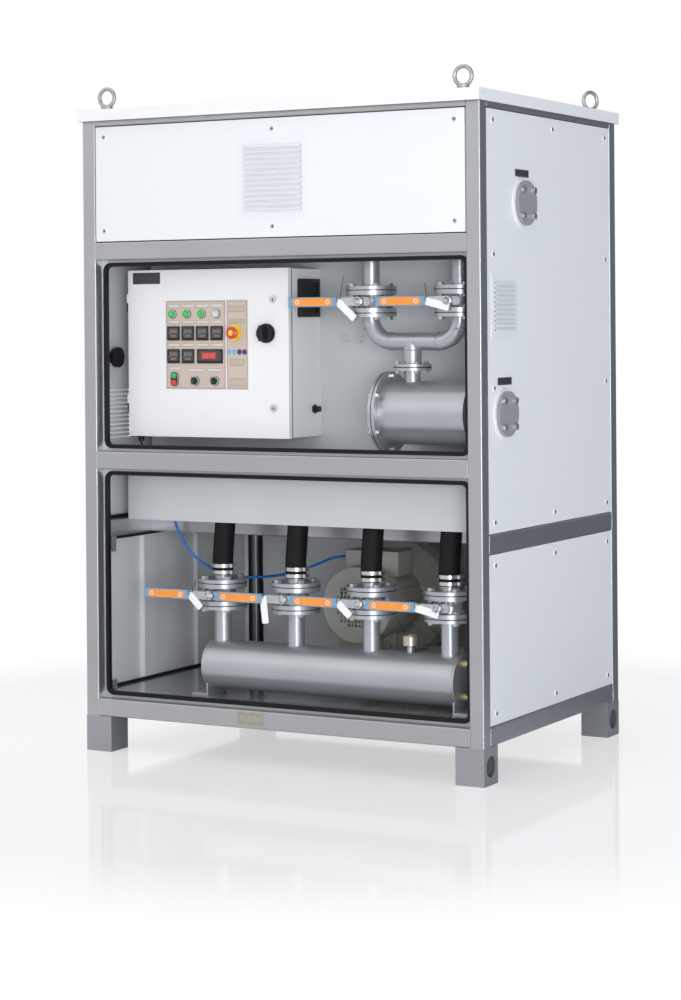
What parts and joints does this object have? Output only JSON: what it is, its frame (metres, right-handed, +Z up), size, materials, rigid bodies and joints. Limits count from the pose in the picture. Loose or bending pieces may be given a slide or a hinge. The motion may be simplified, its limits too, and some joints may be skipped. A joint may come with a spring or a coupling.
{
  "type": "air dryer",
  "caption": "Cabinet air dryer on feet, open-fronted, with a control box, lever valves on flanged pipework, a heater tank, a manifold with hoses, and a side-channel blower.",
  "frame": {"origin": "middle of the footprint on the floor, without the loose leads", "axes": "+Z up, front with the open compartments and the controls towards -Y, ports towards +X"},
  "size_m": [1.55, 1.14, 2.2614],
  "materials": {
    "frame_grey": "satin light grey paint",
    "foot_grey": "satin grey paint",
    "panel_white": "satin white powder coat",
    "inner_grey": "satin light grey paint",
    "floor_dark": "glossy dark grey paint",
    "box_white": "white textured powder coat",
    "zinc": "bright zinc plating",
    "washer_white": "white cover washers",
    "seal_rubber": "matt black rubber",
    "galvanised": "galvanised sheet",
    "black_plastic": "black moulded plastic",
    "overlay_beige": "matt printed film",
    "lamp_lens": "tinted lenses in dark bezels",
    "meter_black": "black casing with a dark window",
    "stop_red": "red plastic",
    "start_green": "green plastic",
    "selector_dark": "dark green and black plastic",
    "lock_metal": "bright lock face",
    "pipe_silver": "silver-grey paint",
    "cover_grey": "grey blank covers on white rings",
    "lever_zinc": "zinc lever with a light blue sleeve",
    "hose_black": "fabric-finish rubber",
    "clamp_steel": "bright steel band",
    "gauge_copper": "copper-coloured case",
    "vessel_grey": "silver-grey paint",
    "blower_grey": "olive-grey cast finish",
    "rotor_aluminium": "cast aluminium",
    "lead_black": "black cable sheath",
    "cable_blue": "blue cable sheath"
  },
  "bodies": {
    "cabinet": {"frame_posts": "frame_grey", "frame_rails": "frame_grey", "feet": "foot_grey", "roof": "panel_white", "lifting_eyes": "zinc", "front_upper_panel": "panel_white", "right_panels": "panel_white", "left_panels": "panel_white", "rear_panels": "panel_white", "louvres": "panel_white", "panel_screws": "washer_white", "panel_tabs": "galvanised", "rubber_seals": "seal_rubber", "opening_lips": "frame_grey", "floor_deck": "floor_dark", "shelf_decks": "inner_grey", "inner_walls": "inner_grey", "control_box": "box_white", "box_backplate": "galvanised", "box_fittings": "black_plastic", "cable_glands": "black_plastic", "upper_pipes": "pipe_silver", "heater_inlet_pipe": "pipe_silver", "heater_tank": "pipe_silver", "heater_bundle": "pipe_silver", "port_covers": "cover_grey", "valve_bodies": "pipe_silver", "pipe_gaskets": "seal_rubber", "flange_bolts": "zinc", "manifold": "pipe_silver", "hoses": "hose_black", "hose_clamps": "clamp_steel", "gauge_case": "gauge_copper", "adsorber_vessels": "vessel_grey", "blower_motor": "blower_grey", "blower_housing": "blower_grey", "control_lead": "lead_black", "control_lead_coil": "lead_black", "motor_cable": "cable_blue"},
    "door": {"box_door": "box_white", "door_overlay": "overlay_beige", "pilot_lamps": "lamp_lens", "panel_meters": "meter_black", "switch_bezels": "black_plastic"},
    "emergency_stop_button": {"emergency_stop_button": "stop_red"},
    "start_button": {"start_button": "start_green"},
    "stop_button": {"stop_button": "stop_red"},
    "selector_left": {"selector_left": "selector_dark"},
    "selector_right": {"selector_right": "selector_dark"},
    "main_switch_handle": {"main_switch_handle": "black_plastic"},
    "door_lock_lower": {"door_lock_lower": "lock_metal"},
    "door_lock_upper": {"door_lock_upper": "lock_metal"},
    "gauge_needle": {"gauge_needle": "black_plastic"},
    "blower_rotor": {"blower_rotor": "rotor_aluminium"},
    "valve_lever_1": {"valve_lever_1": "lever_zinc"},
    "valve_lever_2": {"valve_lever_2": "lever_zinc"},
    "valve_lever_3": {"valve_lever_3": "lever_zinc"},
    "valve_lever_4": {"valve_lever_4": "lever_zinc"},
    "valve_lever_5": {"valve_lever_5": "lever_zinc"},
    "valve_lever_6": {"valve_lever_6": "lever_zinc"}
  },
  "joints": [
    {"name": "box_door_hinge", "type": "hinge", "parent": "cabinet", "child": "door", "pos_m": [-0.652, -0.426, 1.3525], "axis": [0, 0, -1], "range_deg": [0, 90]},
    {"name": "door_lock_lower_turn", "type": "hinge", "parent": "door", "child": "door_lock_lower", "pos_m": [-0.07, -0.43, 1.17], "axis": [0, -1, 0], "range_deg": [0, 90]},
    {"name": "door_lock_upper_turn", "type": "hinge", "parent": "door", "child": "door_lock_upper", "pos_m": [-0.07, -0.43, 1.532], "axis": [0, -1, 0], "range_deg": [0, 90]},
    {"name": "main_switch_turn", "type": "hinge", "parent": "door", "child": "main_switch_handle", "pos_m": [-0.096, -0.43, 1.419], "axis": [0, 1, 0], "range_deg": [0, 90]},
    {"name": "selector_left_turn", "type": "hinge", "parent": "door", "child": "selector_left", "pos_m": [-0.377, -0.43, 1.2595], "axis": [0, 1, 0], "range_deg": [-45, 45]},
    {"name": "selector_right_turn", "type": "hinge", "parent": "door", "child": "selector_right", "pos_m": [-0.299, -0.43, 1.2595], "axis": [0, 1, 0], "range_deg": [-45, 45]},
    {"name": "emergency_stop_press", "type": "slide", "parent": "door", "child": "emergency_stop_button", "axis": [0, 1, 0], "range_m": [0, 0.005]},
    {"name": "start_button_press", "type": "slide", "parent": "door", "child": "start_button", "axis": [0, 1, 0], "range_m": [0, 0.003], "stiffness_N_per_m": 300},
    {"name": "stop_button_press", "type": "slide", "parent": "door", "child": "stop_button", "axis": [0, 1, 0], "range_m": [0, 0.003], "stiffness_N_per_m": 300},
    {"name": "gauge_needle_turn", "type": "hinge", "parent": "cabinet", "child": "gauge_needle", "pos_m": [0.406, -0.378, 0.43], "axis": [0, 0, -1], "range_deg": [0, 270], "stiffness_Nm_per_rad": 0.002},
    {"name": "blower_spin", "type": "hinge", "parent": "cabinet", "child": "blower_rotor", "pos_m": [0, 0.2, 0.471], "axis": [0, 1, 0], "continuous": true},
    {"name": "valve_1_turn", "type": "hinge", "parent": "cabinet", "child": "valve_lever_1", "pos_m": [0.272, -0.475, 1.5205], "axis": [0, -1, 0], "range_deg": [0, 90]},
    {"name": "valve_2_turn", "type": "hinge", "parent": "cabinet", "child": "valve_lever_2", "pos_m": [0.594, -0.475, 1.5205], "axis": [0, -1, 0], "range_deg": [0, 90]},
    {"name": "valve_3_turn", "type": "hinge", "parent": "cabinet", "child": "valve_lever_3", "pos_m": [-0.306, -0.475, 0.54], "axis": [0, -1, 0], "range_deg": [0, 90]},
    {"name": "valve_4_turn", "type": "hinge", "parent": "cabinet", "child": "valve_lever_4", "pos_m": [-0.021, -0.475, 0.54], "axis": [0, -1, 0], "range_deg": [0, 90]},
    {"name": "valve_5_turn", "type": "hinge", "parent": "cabinet", "child": "valve_lever_5", "pos_m": [0.264, -0.475, 0.54], "axis": [0, -1, 0], "range_deg": [0, 90]},
    {"name": "valve_6_turn", "type": "hinge", "parent": "cabinet", "child": "valve_lever_6", "pos_m": [0.549, -0.475, 0.54], "axis": [0, -1, 0], "range_deg": [0, 90]}
  ]
}
